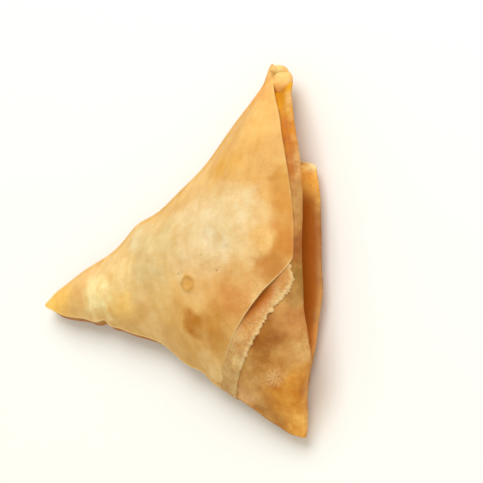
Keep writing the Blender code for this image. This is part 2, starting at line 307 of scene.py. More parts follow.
def back_height(x, y, floor):
    """Underside of the parcel, flat where it rests."""
    plain = rim_height(x, y) - edge_half(x, y) - BACK_DROP * swell(x, y, 0.6)
    return np.maximum(floor, plain + 0.6 * filling(x + 31.0, y - 17.0))


def gutter(x, y):
    """Valley in the layer beside the flap's folded edge, deepest by the rolled tip."""
    t, inside = inside_fold(x, y)
    depth = GUTTER_DEPTH * smooth(0.1, 0.6, t) * smooth(1.02, 0.93, t)
    snug = 0.4 * hump(inside, -0.3, 1.3) * smooth(-0.1, 0.05, t) * smooth(0.85, 0.6, t)
    return depth * hump(inside, -0.6, 1.6) - snug


def rosette(x, y):
    """Flower-like blister and two ring ripples by the flat tip."""
    dx, dy = x - ROSETTE[0], y - ROSETTE[1]
    away = np.hypot(dx, dy)
    turn = np.arctan2(dy, dx)
    petals = 0.24 * hump(away, 1.9, 0.95) * (0.6 + 0.4 * np.cos(8.0 * turn)) + 0.14 * hump(away, 0.0, 0.5)
    ripple = np.hypot(x - RIPPLE[0], y - RIPPLE[1])
    rings = 0.14 * hump(ripple, 1.7, 0.45) + 0.12 * hump(ripple, 3.2, 0.5)
    return petals + rings * smooth(-36.5, -38.5, y)


def nub_seat(x, y):
    """Dip of the layer under the rolled nub."""
    return NUB_SEAT_DEPTH * hump(np.hypot(x - NUB_SEAT[0], y - NUB_SEAT[1]), 0.0, NUB_SEAT_REACH)


def layer_height(x, y):
    """Top of the layer that shows outside the flap."""
    bubbles = 0.09 * lumps(x, y, 1.5, 8) + 0.05 * lumps(x, y, 0.7, 9)
    relief = rosette(x, y) + bubbles * smooth(0.8, 4.0, inside_depth(1, x, y))
    return face_height(x, y) - gutter(x, y) - nub_seat(x, y) + relief


def tension_folds(x, y):
    """Long soft folds that the wrapped flap pulls down from the rolled tip.

    Each has its heading and width in degrees, its height, and how far away it starts and ends."""
    dx, dy = TIPS[0][0] + 3.0 - x, TIPS[0][1] + 22.0 - y
    turn = np.degrees(np.arctan2(dx, dy))
    away = np.hypot(dx, dy)
    total = 0.0
    for heading, width, height, first, last in (
        (7.4, 0.9, 0.34, 34.0, 66.0),
        (11.6, 1.0, -0.2, 38.0, 70.0),
        (15.5, 1.3, 0.26, 40.0, 74.0),
        (22.0, 1.8, 0.24, 44.0, 78.0),
        (30.0, 2.6, -0.22, 46.0, 82.0),
        (38.0, 2.8, 0.2, 52.0, 88.0),
    ):
        wander = heading + 0.8 * np.sin(away / 9.0 + heading)
        extent = smooth(first, first + 9.0, away) * smooth(last, last - 14.0, away)
        total = total + height * hump(turn, wander, width) * extent
    return total


def flap_relief(x, y):
    """Folds, the ring blister, the pinch, blisters and the shoulder of the flap's border."""
    away = np.hypot(x - RING_BLISTER[0], y - RING_BLISTER[1])
    ring = 0.36 * hump(away, 1.8, 0.6) - 0.2 * hump(away, 0.0, 1.0)
    t, inside = inside_fold(x, y)
    shoulder = 0.34 * hump(inside, 6.6 - 3.0 * t, 1.7) * smooth(-0.35, 0.05, t) * smooth(0.75, 0.4, t)
    pinch = 0.35 * hump(x + 20.5 - 0.25 * y, 0.0, 1.1) * hump(y, -5.0, 4.0)
    pinch = pinch - 0.3 * hump(x + 17.5 - 0.2 * y, 0.0, 1.2) * hump(y, -6.5, 4.0)
    bubbly = hump(np.hypot(x - 16.5, y + 3.0), 0.0, 6.0) + hump(np.hypot(x - 29.0, y + 14.0), 0.0, 6.5)
    grain = 0.12 * bubbly * np.maximum(0.0, lumps(x, y, 0.75, 21)) ** 1.5
    blisters = 0.1 * lumps(x, y, 2.6, 22) + 0.05 * lumps(x, y, 1.3, 23)
    lively = 0.4 + 0.6 * smooth(0.0, 21.0, x - SHARP_TIP[0])
    return tension_folds(x, y) + ring + shoulder + pinch + grain + blisters * lively


def free_lift(x, y):
    """How far the flap's free edge stands off the frayed ply."""
    t, left = chord_place(FLAP_HEEL, FLAP_KNEE, x, y)
    near = hump(np.maximum(left, 0.0), 0.0, 4.2)
    return FREE_LIFT * hump(t, 0.66, 0.2) * near * smooth(-0.05, 0.12, t)


def flap_height(x, y):
    """Top of the last flap."""
    edge = smooth(0.0, 4.0, inside_depth(0, x, y)) * smooth(0.0, 4.0, inside_depth(1, x, y))
    layer = FLAP_WRAP + (FLAP_LAYER - FLAP_WRAP) * edge
    return face_height(x, y) + layer + flap_relief(x, y) * edge + free_lift(x, y)


# ------------ skins


def loft(name, rings, **marks):
    """Closed skin through rings of points, a point closing each end; marks are shares from 0 to 1 kept at
    the points for the finish to use."""
    rings = np.asarray(rings)
    count, around = rings.shape[:2]
    points = [tuple(p) for p in rings.reshape(-1, 3) * MM]
    points.append(tuple(rings[0].mean(axis=0) * MM))
    points.append(tuple(rings[-1].mean(axis=0) * MM))
    faces = []
    for ring in range(count - 1):
        first = ring * around
        for n in range(around):
            m = (n + 1) % around
            faces.append((first + n, first + m, first + around + m, first + around + n))
    last = (count - 1) * around
    for n in range(around):
        m = (n + 1) % around
        faces.append((count * around, m, n))
        faces.append((count * around + 1, last + n, last + m))
    mesh = bpy.data.meshes.new(name)
    mesh.from_pydata(points, [], faces)
    mesh.shade_smooth()
    for mark, shares in marks.items():
        kept = mesh.attributes.new(mark, "FLOAT", "POINT")
        values = np.zeros(len(points), dtype=np.float32)
        values[: count * around] = np.clip(shares, 0.0, 1.0).ravel()
        kept.data.foreach_set("value", values)
    thing = bpy.data.objects.new(name, mesh)
    bpy.context.scene.collection.objects.link(thing)
    return thing


def outline(pieces, eases):
    """Closed plan outline through curved pieces, each corner eased by a small curve."""
    points, origin = [], []
    for n, (curve, length, share) in enumerate(pieces):
        cut_in, cut_out = eases[n] / length, eases[(n + 1) % len(eases)] / length
        for t in np.linspace(cut_in, 1.0 - cut_out, share):
            points.append(curve(t))
            origin.append((n, t))
        following, next_length, _ = pieces[(n + 1) % len(pieces)]
        leave, corner = curve(1.0 - cut_out), curve(1.0)
        arrive = following(eases[(n + 1) % len(eases)] / next_length)
        for q in np.linspace(0.0, 1.0, 12)[1:-1]:
            points.append((1 - q) ** 2 * leave + 2 * q * (1 - q) * corner + q * q * arrive)
            origin.append((n, 1.0))
    plan = np.array(points)
    run = np.roll(plan, -1, axis=0) - np.roll(plan, 1, axis=0)
    run /= np.hypot(run[:, 0], run[:, 1])[:, None]
    return plan, np.column_stack((run[:, 1], -run[:, 0])), origin


def tip_room(plan):
    """Share of the full edge thickness that is left near the three tips."""
    near = np.min([np.hypot(*(plan - tip).T) for tip in TIPS], axis=0)
    return 0.25 + 0.75 * smooth(0.5, 9.0, near)


def threads(rim, middle, tips, shares):
    """Plan points on the way from the middle to each rim point, bent so that no two ways cross."""
    targets = (rim + middle) / 2.0
    for tip in tips:
        run = middle - tip
        length = np.hypot(*run)
        share = 0.1 + 1.35 * np.maximum(0.0, (rim - tip) @ run / length) / length
        left = np.clip(1.0 - share, 0.0, 1.0)[:, None]
        targets = targets + (middle - run * left - targets) * 0.62 * smooth(0.0, 0.8, left)
    first = rim[0] - middle
    turns = math.atan2(first[1], first[0]) + np.linspace(0.0, 2.0 * math.pi, len(rim), endpoint=False)
    headings = np.column_stack((np.cos(turns), np.sin(turns)))
    u = np.linspace(0.0, 1.0, 60)[:, None]
    r = np.asarray(shares)
    spots = np.empty((len(r), len(rim), 2))
    for n, (edge, bend) in enumerate(zip(rim, targets)):
        way = edge * u * u + bend * 2.0 * u * (1.0 - u) + middle * (1.0 - u) ** 2
        gone = np.concatenate(([0.0], np.cumsum(np.hypot(*np.diff(way, axis=0).T))))
        short = min(gone[-1], SHORT_WAY)
        goal = short * r + (gone[-1] - short) * r**2.2
        spots[:, n, 0] = np.interp(goal, gone, way[:, 0])
        spots[:, n, 1] = np.interp(goal, gone, way[:, 1])
    ease = ((1.0 - r) ** 2)[:, None, None]
    return spots + (middle + headings[None] * (SHORT_WAY * r)[:, None, None] - spots) * ease


def rounded(knots, count):
    """Smooth line through knots, given as an array of knot by station by (out, up)."""
    knots = np.asarray(knots)
    padded = np.concatenate((2 * knots[:1] - knots[1:2], knots, 2 * knots[-1:] - knots[-2:-1]))
    rows = []
    for place in np.linspace(0.0, len(knots) - 1.0001, count):
        n = int(place)
        q = place - n
        a, b, c, d = padded[n : n + 4]
        rows.append(b + 0.5 * q * (c - a + q * (2 * a - 5 * b + 4 * c - d + q * (3 * (b - c) + d - a))))
    return np.array(rows)


def lift(plan, heights):
    """Plan points with their heights."""
    return np.concatenate((plan, heights[..., None]), axis=-1)


def parcel():
    """The filled parcel: closed folds, upper lip, groove, lower lip and underside."""
    pieces = []
    for n, share in enumerate(SIDE_SHARES):
        pieces.append(((lambda t, n=n: side_point(n, t)), side_frame(n)[3], int(share * STATIONS)))
    plan, normals, origin = outline(pieces, TIP_EASE)

    # Only the third side opens; t runs along it and is 0 on the closed sides.
    t = np.array([t if n == 2 else 0.0 for n, t in origin])
    opened = smooth(OPEN_FROM, OPEN_FULL, t) * smooth(SHUT_FULL, SHUT_FROM, t)
    further = np.where(t > 0, lower_lip(t) - upper_lip(t), 0.0)
    room = tip_room(plan)
    inner = plan - normals * (RIM_HALF * room)[:, None]
    shares = np.linspace(0.0, 1.0, TOP_RINGS + 1)[1:-1]
    top = threads(inner, MIDDLE, TIPS, shares)
    rings = [lift(top, layer_height(top[..., 0], top[..., 1]))]

    # The underside stands back beyond the lower lip's end, under the overhang, by the flat tip, and always
    # a little behind the lower lip's crest.
    behind = np.where(t > 0, recess(t), 0.0)
    overhung = np.where(t > 0, 1.25 * overhang(t), 0.0)
    stand_back = behind + np.where(t > 0, tuck(t), 0.0)
    far = RIM_HALF + further - behind
    inset = np.maximum(stand_back + overhung, (FOOT_BACK - far) * opened)
    foot = inner - normals * inset[:, None]
    rim, high = rim_height(*inner.T), layer_height(*inner.T)
    low = back_height(*foot.T, BACK_FLOOR)

    # Closed edge: a round fold, fuller below along the front side.
    turns = np.radians(np.linspace(90.0, -90.0, EDGE_RINGS))[:, None]
    front = np.array([smooth(0.02, 0.08, q) * smooth(0.62, 0.4, q) if n == 1 else 0.0 for n, q in origin])
    under_fold = 0.8 * hump(np.degrees(turns), -42.0, 26.0) * front
    shut_out = RIM_HALF * room * np.cos(turns) + under_fold
    shut_out = shut_out - stand_back * smooth(10.0, -60.0, np.degrees(turns))
    shut_out = shut_out - overhung * smooth(60.0, -20.0, np.degrees(turns))
    shut_up = rim + np.where(turns > 0.0, high - rim, rim - low) * np.sin(turns)

    # Open edge, as knots of (out, up): over the upper lip, into the groove, over the lower lip and under.
    gap = high - LOWER_LIP_HEIGHT
    deep = np.maximum(GROOVE_DEPTH * (1.0 - 0.6 * smooth(0.59, 0.68, t)), behind * 1.02)
    end = smooth(0.67, 0.75, t)
    crest_height = LOWER_LIP_HEIGHT - 0.9 * end
    waver = 0.25 * np.sin(t * 23.0) + 0.15 * np.sin(t * 51.0 + 1.0)
    none = np.zeros_like(high)
    knots = (
        (none, high),
        (none + 0.9, high - 0.05),
        (none + 1.3, high - 0.45),
        (none + 1.15, high - 1.0),
        (none + 0.2, high - LIP_THICKNESS),
        (-deep * 0.45, high - LIP_THICKNESS - 0.14 * gap),
        (-deep, LOWER_LIP_HEIGHT + 0.3 * gap),
        (np.minimum(-deep * 0.5, far - 3.0), LOWER_LIP_HEIGHT + 0.16 * gap),
        (far - 2.2, crest_height + 0.75),
        (far - 1.0 + waver * 0.4, crest_height + 0.55),
        (far - 0.25 + waver * 0.4, crest_height + 0.1),
        (far + waver * 0.4, crest_height - 0.4),
        (far - 1.0, crest_height - 1.2 + 0.4 * end),
        (-inset, low),
    )
    lips = rounded([np.column_stack(knot) for knot in knots], EDGE_RINGS)
    out = shut_out * (1.0 - opened) + lips[..., 0] * opened
    up = shut_up * (1.0 - opened) + lips[..., 1] * opened
    rings.append(lift(inner[None] + normals[None] * out[..., None], up))

    shares = np.linspace(1.0, 0.0, BACK_RINGS + 1)[1:-1]
    back = threads(foot, MIDDLE, TIPS, shares)
    rings.append(lift(back, back_height(back[..., 0], back[..., 1], BACK_FLOOR)))

    # Painted shade, orange brown: in the groove, below the lower lip, under the front fold, and in the
    # valley beside the flap where the flap shades it. The underside is browned at half strength all over.
    knot = np.linspace(0.0, len(knots) - 1.0, EDGE_RINGS)[:, None]
    depth = smooth(3.0, 5.0, knot) * smooth(10.2, 7.4, knot) * opened * smooth(0.67, 0.595, t)
    depth = depth * (0.5 + 0.5 * smooth(0.2, 0.34, t))
    depth = np.maximum(depth, smooth(10.6, 12.0, knot) * opened * 0.6)
    depth = np.maximum(depth, smooth(0.0, -30.0, np.degrees(turns)) * front * 0.55)
    # Painted highlight along the lower lip's crest, and painted light over the lip's sunlit top end.
    pale = 0.04 + 0.13 * smooth(0.55, 0.4, t) + 0.96 * smooth(0.68, 0.71, t)
    crest_highlight = hump(knot, 9.9, 0.8) * opened * pale
    before, after = (np.zeros((len(part), len(plan))) for part in (rings[0], rings[2]))
    way, beside = inside_fold(top[..., 0], top[..., 1])
    # Painted shade in the valley beside the flap's folded edge.
    valley_shade = 0.5 * hump(beside, -1.0, 1.4) * smooth(0.3, 0.44, way) * smooth(1.0, 0.93, way)
    painted_shade_mark = np.concatenate((valley_shade, depth, after + 0.5))
    crest_highlight_mark = np.concatenate((before, crest_highlight, after))
    return loft("pastry_parcel", np.concatenate(rings), deep=painted_shade_mark, cut=crest_highlight_mark)


def last_flap():
    """The last flap of the strip, over the face: hooked round the back side, its border lying along the
    front side's fold."""
    edge_length = np.hypot(*(np.array(FLAP_KNEE) - np.array(FLAP_HEEL)))
    finger = FOLD_TOP - TIPS[0]

    def back_way(t):
        return side_point(0, t) + finger * (1.0 - smooth(0.0, 0.1, t))

    def front_way(t):
        return side_point(1, t * HEEL_SHARE)

    pieces = [
        (back_way, side_frame(0)[3], int(0.36 * STATIONS)),
        (front_way, side_frame(1)[3] * HEEL_SHARE, int(0.26 * STATIONS)),
        (flap_edge, edge_length, int(0.16 * STATIONS)),
        (flap_fold, FOLD_LENGTH, int(0.22 * STATIONS)),
    ]
    plan, normals, origin = outline(pieces, (1.8, 1.6, 1.2, 1.4))
    side = np.array([n for n, _ in origin])
    t = np.array([t for _, t in origin])

    # Where along each side the border goes from hooked round the edge to free; two are free all along.
    steps = ((0.12, 0.03), (-2.0, -1.0), (0.0, 0.15), (-2.0, -1.0))
    free = np.array([smooth(*steps[n], q) for n, q in origin])
    folded = np.where(side == 3, smooth(0.0, 0.06, t), 0.0)
    folded = np.where(side == 0, smooth(0.12, 0.03, t), folded)
    cut = np.clip(free - folded, 0.0, 1.0)
    room = tip_room(plan)
    half = (0.28 * cut + 0.42 * folded) * room
    inner = plan - normals * (RIM_HALF * room * (1.0 - free) + half * free)[:, None]
    middle = MIDDLE - np.array((3.0, 0.0))
    top = threads(inner, middle, TIPS[:2], np.linspace(0.0, 1.0, TOP_RINGS + 1)[1:])
    rings = [lift(top, flap_height(top[..., 0], top[..., 1]))]

    x, y = inner.T
    high = flap_height(x, y)
    turns = np.radians(np.linspace(90.0, -90.0, EDGE_RINGS // 2))[1:, None]
    wall = (RIM_HALF + FLAP_WRAP) * room
    rim = rim_height(x, y)
    below = rim - back_height(x, y, BACK_FLOOR)
    shut_up = rim + np.where(turns > 0.0, high - rim, below) * np.sin(turns)
    shut_out = wall * np.cos(turns)
    open_up = high - half * (1.0 - np.sin(turns))
    open_out = half * np.cos(turns)
    out = shut_out * (1.0 - free) + open_out * free
    up = shut_up * (1.0 - free) + open_up * free
    rings.append(lift(inner[None] + normals[None] * out[..., None], up))

    # The hidden side runs down into the parcel.
    shares = np.array((0.985, 0.965, 0.94, 0.91, 0.87, 0.82, 0.74, 0.6, 0.4, 0.2))
    under = threads(inner, middle, TIPS[:2], shares)
    x, y = under[..., 0], under[..., 1]
    buried = face_height(x, y) - 1.3
    hook = back_height(x, y, BACK_FLOOR) + np.array((-0.35, -0.2, 0.1, 0.5, 1, 1, 1, 1, 1, 1))[:, None]
    sink = smooth(0.93, 0.82, shares)[:, None]
    thin = (flap_height(x, y) - 0.56) * (1.0 - sink) + buried * sink
    under_fold = buried - GUTTER_DEPTH
    open_up = thin * cut + under_fold * (1.0 - cut)
    deep = smooth(0.9, 0.8, shares)[:, None]
    closed_up = hook * (1.0 - deep) + buried * deep
    rings.append(lift(under, open_up * free + closed_up * (1.0 - free)))
    # Painted highlight along the top of the flap's free edge, fainter along its folded edge.
    edge_highlight = hump(np.degrees(turns), 20.0, 45.0) * np.maximum(cut, 0.2 * folded)
    before, after = (np.zeros((len(part), len(plan))) for part in (rings[0], rings[2]))
    return loft("last_flap", np.concatenate(rings), cut=np.concatenate((before, edge_highlight, after)))


def over_front(x, y):
    """Plan place and drop of a ply's point that bends down round the closed front side."""
    normal = side_frame(1)[2]
    spare = RIM_HALF - inside_depth(1, x, y)
    turn = np.clip(spare, 0.0, 2.6) / PLY_BEND
    back = np.maximum(spare, 0.0) - PLY_BEND * np.sin(turn)
    return x - normal[0] * back, y - normal[1] * back, PLY_BEND * (1.0 - np.cos(turn))


def frayed_ply():
    """The strip of the ply below that shows along the flap's free edge, with a torn, powdery border."""
    rows, flap_shadow, border = [], [], []
    for t in np.linspace(-0.12, 1.0, 420):
        here = flap_edge(t)
        ahead = flap_edge(t + 0.01) - flap_edge(t - 0.01)
        along = ahead / np.hypot(*ahead)
        out = np.array((along[1], -along[0]))
        show = PLY_SHOW - PLY_NARROWS * t + 0.6 * math.sin(math.pi * np.clip(t, 0.0, 1.0))
        show = show * (1.0 - smooth(0.88, 1.02, t))
        torn = smooth(0.1, 0.3, t)
        place = t * 35.0
        teeth = 0.3 * lumps(place, 0.0, 1.2, 31) + 0.26 * lumps(place, 0.0, 0.45, 32)
        teeth = teeth * torn + 0.3 * lumps(place, 0.0, 4.0, 33)
        across = np.concatenate((np.linspace(-PLY_TUCK, show + teeth, 32), [show + teeth + 0.12]))
        x, y, drop = over_front(here[0] + out[0] * across, here[1] + out[1] * across)
        edge = np.clip((across - show + 1.9) / 1.9, 0.0, 1.0)
        crumbs = 0.24 * lumps(x, y, 0.6, 34) + 0.16 * lumps(x, y, 0.3, 35)
        high = face_height(x, y) + PLY_THICKNESS + 0.12 * lumps(x, y, 2.4, 36) + crumbs * edge * torn - drop
        high = high + 0.4 * hump(across, show * 0.62, 0.9) * hump(t, 0.16, 0.16)
        high = high - 0.8 * smooth(-1.0, -3.2, across)
        high[-1] -= 0.22
        low = face_height(x, y) - 0.5 - drop
        low[-1] = high[-1] - 0.2
        shift = along * 0.14 * lumps(place, 3.0, 0.8, 37)
        loop = np.concatenate((np.column_stack((x, y, high)), np.column_stack((x, y, low))[::-1]))
        loop[:, :2] += shift
        rows.append(loop)
        # Painted shadow that the flap's lifted free edge casts on the ply.
        shade = hump(across, 0.3, 1.7) * hump(t, 0.68, 0.23)
        flap_shadow.append(np.concatenate((shade, shade[::-1])))
        frayed = np.clip((across - show + 0.9) / 0.9, 0.0, 1.0) * (0.3 + 0.4 * torn)
        border.append(np.concatenate((frayed, frayed[::-1])))
    return loft("frayed_ply", rows, deep=np.array(flap_shadow), cut=np.array(border))


def rolled_nub():
    """The end of the strip, rolled into a little ball at the tip with a crease down one side."""
    turn = np.linspace(0.0, 2.0 * math.pi, 72, endpoint=False)
    crease = 1.0 - 0.14 * hump(np.degrees(turn), 150.0, 26.0)
    rings = []
    for latitude in np.radians(np.linspace(-86.0, 86.0, 44)):
        flat = math.cos(latitude)
        swollen = 1.0 + 0.06 * np.sin(2.0 * turn + 0.6) + 0.04 * np.sin(3.0 * turn + 3.0 * latitude)
        x = NUB_RADII[0] * flat * np.cos(turn) * swollen * crease
        y = NUB_RADII[1] * flat * np.sin(turn) * swollen
        z = NUB_RADII[2] * math.sin(latitude) + np.zeros_like(x)
        rings.append(np.column_stack((NUB[0] + x - 0.04 * y, NUB[1] + y, NUB[2] + z)))
    return loft("rolled_nub", rings)


def tip_curl():
    """The last corner of the strip, curled over the top of the rolled nub."""
    along = np.array((0.9, -0.2, -0.38))
    along /= np.linalg.norm(along)
    across = np.cross((0.0, 0.1, 1.0), along)
    across /= np.linalg.norm(across)
    out = np.cross(along, across)
    turn = np.linspace(0.0, 2.0 * math.pi, 48, endpoint=False)[:, None]
    rings = []
    for way in np.radians(np.linspace(-86.0, 86.0, 40)):
        radius = CURL_RADIUS * math.cos(way) ** 0.8
        sag = 0.3 * math.sin(way) ** 2
        ring = np.array(CURL) + along * CURL_HALF_LENGTH * math.sin(way) - across * sag
        rings.append(ring + across * radius * np.cos(turn) + out * radius * np.sin(turn))
    return loft("tip_curl", rings)


def under_flap():
    """The flap before the last, across the underside; the whole rests on its flat middle."""
    begin, reach = 0.06, 0.78
    foot = side_point(1, reach)
    head = side_point(0, begin)

    def back_edge(t):
        run = head - foot
        side = np.array((run[1], -run[0])) / np.hypot(*run)
        return foot + run * t + side * 3.0 * math.sin(math.pi * t)

    pieces = [
        ((lambda t: side_point(0, begin + (1.0 - begin) * t)), side_frame(0)[3] * (1.0 - begin), 110),
        ((lambda t: side_point(1, t * reach)), side_frame(1)[3] * reach, 100),
        (back_edge, 76.0, 110),
    ]
    plan, normals, _ = outline(pieces, (8.0, 9.0, 8.0))
    room = smooth(3.0, 24.0, np.hypot(*(plan - head).T))
    inner = plan - normals * (0.2 + 1.7 * room)[:, None]
    middle = MIDDLE - np.array((7.0, 2.0))
    shares = np.linspace(0.0, 1.0, 40)[1:]
    tips = (head, TIPS[1], foot)
    deep = threads(inner, middle, tips, shares)
    rings = [lift(deep, back_height(deep[..., 0], deep[..., 1], BACK_FLOOR) + 0.8)]
    for out, drop in ((0.12, 0.3), (0.16, 0.0), (0.1, -0.28), (-0.2, -0.4)):
        edge = inner + normals * out
        rings.append(lift(edge, back_height(edge[:, 0], edge[:, 1], BACK_FLOOR) + drop)[None])
    shown = threads(inner, middle, tips, shares[-2::-1])
    rings.append(lift(shown, back_height(shown[..., 0], shown[..., 1], BACK_FLOOR) - 0.4))
    return loft("under_flap", np.concatenate(rings))


# ------------ finishes


def linear(colour):
    """An sRGB hex colour as linear red, green, blue and alpha."""
    values = [int(colour[n : n + 2], 16) / 255.0 for n in (1, 3, 5)]
    return (*[v / 12.92 if v <= 0.04045 else ((v + 0.055) / 1.055) ** 2.4 for v in values], 1.0)


def add(tree, kind, feeds, **settings):
    """Adds a node: settings are its options, feeds its inputs, each a value or another node's output."""
    node = tree.nodes.new("ShaderNode" + kind)
    for option, value in settings.items():
        setattr(node, option, value)
    for socket, value in feeds.items():
        if isinstance(value, bpy.types.NodeSocket):
            tree.links.new(value, node.inputs[socket])
        else:
            node.inputs[socket].default_value = value
    return node


# Toasting of the face, with a painted highlight among it; each place in millimetres with how far it
# reaches, how strong it is and its colour.
FACE_TOAST_AND_LIGHT = (
    ("golden upper half", (27.0, 25.0, 14.0), 24.0, 0.8, "#DFAE62"),
    ("golden middle", (18.0, 19.0, 15.0), 11.0, 0.7, "#DAA23A"),
    ("golden ridge", (30.5, 14.0, 17.3), 5.5, 0.5, "#DCA24C"),
    ("pale flank below the nub", (31.5, 34.0, 12.0), 9.0, 0.7, "#F2C67C"),
    ("orange flank of the tip", (30.5, 43.0, 8.0), 7.5, 0.8, "#EEB05E"),
    ("pale yellow flank", (10.0, 24.0, 12.0), 8.0, 0.6, "#EFCB8A"),
    ("pale dome", (17.0, 5.0, 20.0), 17.0, 0.95, "#E6D2AA"),
    ("pale dome's upper end", (25.0, 9.5, 19.0), 9.0, 0.6, "#E5D0A2"),
    ("cream left", (-2.0, 2.0, 17.0), 11.0, 0.8, "#D9C594"),
    ("grey-green filling", (19.5, 2.8, 20.0), 3.4, 0.35, "#CDBB94"),
    ("grey-green filling by it", (22.2, 1.4, 19.8), 1.8, 0.5, "#C2AE8C"),
    ("tan arc by the ring", (15.0, -4.6, 19.8), 3.0, 0.5, "#D3AC72"),
    ("tan arc left of the ring", (9.0, -3.0, 19.4), 3.2, 0.4, "#D6B27A"),
    ("grey-green filling left", (3.0, 8.0, 15.0), 5.0, 0.4, "#D6C48C"),
    ("grey-green back edge", (-6.6, 8.4, 12.0), 6.0, 0.75, "#E2D3A6"),
    ("orange border", (37.5, -1.0, 15.0), 8.0, 0.9, "#CF8A32"),
    ("orange border, upper", (38.5, 9.0, 15.0), 6.0, 0.85, "#D2923A"),
    ("orange border, top", (38.2, 16.0, 14.5), 4.5, 0.8, "#CC9034"),
    ("orange border, lower", (33.4, -7.3, 17.0), 6.5, 0.9, "#BE7E2E"),
    # Painted highlight on the ridge of the flap's shoulder.
    ("pale shoulder", (32.0, 1.0, 17.5), 4.0, 0.6, "#F0CC86"),
    ("tan below the dome", (21.5, -14.0, 19.0), 11.0, 0.65, "#D29A4E"),
    ("ochre front", (7.0, -21.0, 14.0), 15.0, 0.75, "#E0B266"),
    ("pale yellow below the ring", (1.5, -11.0, 15.2), 7.0, 0.35, "#EDCB86"),
    ("ochre below the dome", (16.6, -20.8, 17.0), 6.5, 0.7, "#C2842A"),
    ("ring blister's halo", (14.5, -9.0, 19.0), 5.5, 0.6, "#EBC080"),
    ("brown spot", (9.9, -17.6, 16.5), 4.6, 0.8, "#BA7400"),
    ("brown spot, small", (15.4, -25.2, 14.5), 3.4, 0.6, "#D49A48"),
    ("pale by the heel", (12.0, -30.0, 10.5), 5.5, 0.85, "#F4D49A"),
    ("peach side", (-25.0, 1.5, 9.0), 12.0, 0.8, "#EDC484"),
    ("cream on the back side", (-18.5, 2.6, 10.5), 5.5, 0.6, "#EACF9A"),
    ("pale cheek", (-12.5, -2.8, 14.0), 8.0, 0.85, "#F4DAA0"),
    ("cream by the crease", (-22.7, -5.2, 10.0), 7.0, 1.0, "#FFEEB4"),
    ("yellow below the crease", (-14.5, -8.6, 11.5), 5.0, 0.8, "#F7D07A"),
    ("tan front edge", (-7.0, -15.5, 9.5), 5.0, 0.7, "#F2CE90"),
    ("blistered tan by the free edge", (24.8, -14.6, 18.4), 7.0, 0.7, "#CC8A46"),
    ("orange sharp tip", (-41.5, -1.8, 6.0), 10.0, 0.9, "#FFD272"),
    ("golden nub", (37.3, 45.0, 9.0), 6.0, 1.0, "#F6C87E"),
    ("yellow curl over the nub", (35.6, 48.9, 8.0), 2.6, 0.85, "#EED28A"),
)

# Toasting of the parcel's layer, with painted glow, highlights and shade among it, in the same columns.
LAYER_TOAST_AND_LIGHT = (
    # Painted glow of light passing through the layers in the gutter, darker lower down where it is painted
    # shade.
    ("golden gutter", (36.0, 41.0, 9.0), 11.0, 0.97, "#EAB000"),
    ("orange gutter", (37.6, 28.5, 11.5), 9.0, 0.95, "#D88A00"),
    ("orange gutter, lower end", (38.4, 20.0, 13.4), 4.2, 0.9, "#BA7418"),
    # Painted highlight on the lit crest of the lip beside the gutter.
    ("peach lip by the nub", (40.1, 39.0, 10.0), 3.6, 0.85, "#EAC286"),
    ("peach lip, upper", (41.6, 33.0, 11.4), 3.0, 0.7, "#EEC07C"),
    ("peach lip, middle", (42.2, 27.0, 11.8), 2.8, 0.6, "#E8B46C"),
    ("golden lip", (43.0, 20.0, 11.5), 4.8, 0.85, "#EDC68A"),
    ("tan lip", (41.0, 8.0, 12.0), 8.5, 0.85, "#C69A58"),
    ("brown lip", (40.4, -1.5, 13.0), 5.5, 0.85, "#A86C28"),
    # Painted shade of the flap by the knee, with the filling showing through.
    ("olive by the knee", (39.8, -9.5, 13.0), 5.0, 0.85, "#9C7830"),
    ("olive tan beside the fray", (38.4, -14.5, 13.0), 4.0, 0.7, "#B08C4C"),
    # Painted shade beside the frayed ply.
    ("brown beside the fray", (30.6, -23.0, 16.6), 7.0, 0.95, "#A4681E"),
    ("rosy tan", (38.0, -22.0, 12.0), 6.0, 0.75, "#C98F50"),
    # Painted highlight.
    ("pale lip by the flat tip", (40.0, -28.0, 12.0), 4.6, 0.55, "#DDB87A"),
    ("peach front edge of the flat tip", (19.4, -37.6, 8.9), 4.5, 0.8, "#F2CC9A"),
    ("brown patch above the rosette", (28.8, -28.6, 15.0), 3.4, 0.6, "#B07C36"),
    ("olive tan", (23.5, -35.2, 11.5), 6.0, 0.8, "#E0B472"),
    ("rosette", (30.7, -34.7, 12.0), 3.4, 0.9, "#F6CA86"),
    ("orange towards the flat tip", (34.0, -39.5, 9.5), 9.0, 0.9, "#E6A440"),
    ("orange flat tip", (34.5, -47.5, 6.0), 7.0, 0.95, "#FAC466"),
    # Painted light on the lower lip's lit upper part.
    ("gold upper part of the lower lip", (40.7, 17.5, 4.0), 7.5, 1.0, "#FFC45A"),
    # Painted shade on the lower lip's middle.
    ("brown middle of the lower lip", (42.5, 0.0, 4.5), 9.0, 0.75, "#B8702A"),
    ("golden lower part of the lower lip", (41.5, -14.0, 4.5), 6.0, 0.7, "#D4923E"),
    ("orange foot of the groove", (39.0, -25.0, 5.5), 6.0, 0.9, "#F0A444"),
    # Painted light on the lower lip's sunlit top end.
    ("cream end of the lower lip", (41.6, 22.6, 4.0), 3.8, 1.0, "#FFE2A0"),
)

# Toasting of the frayed ply, with a painted highlight and a painted shadow among it, in the same columns.
PLY_TOAST_AND_LIGHT = (
    ("olive lower end", (16.5, -31.0, 11.0), 6.5, 0.8, "#DAB87C"),
    # Painted highlight on the ply's fold.
    ("pale fold of the lower end", (21.5, -29.0, 14.0), 3.4, 0.8, "#F0D698"),
    ("tan middle", (27.5, -23.0, 16.8), 6.0, 0.8, "#DCA45C"),
    # Painted shadow of the flap on the ply.
    ("orange by the flap", (30.5, -15.5, 17.0), 4.0, 0.7, "#D68C44"),
    ("pale top", (37.0, -10.0, 15.0), 4.5, 0.7, "#DFB06C"),
)

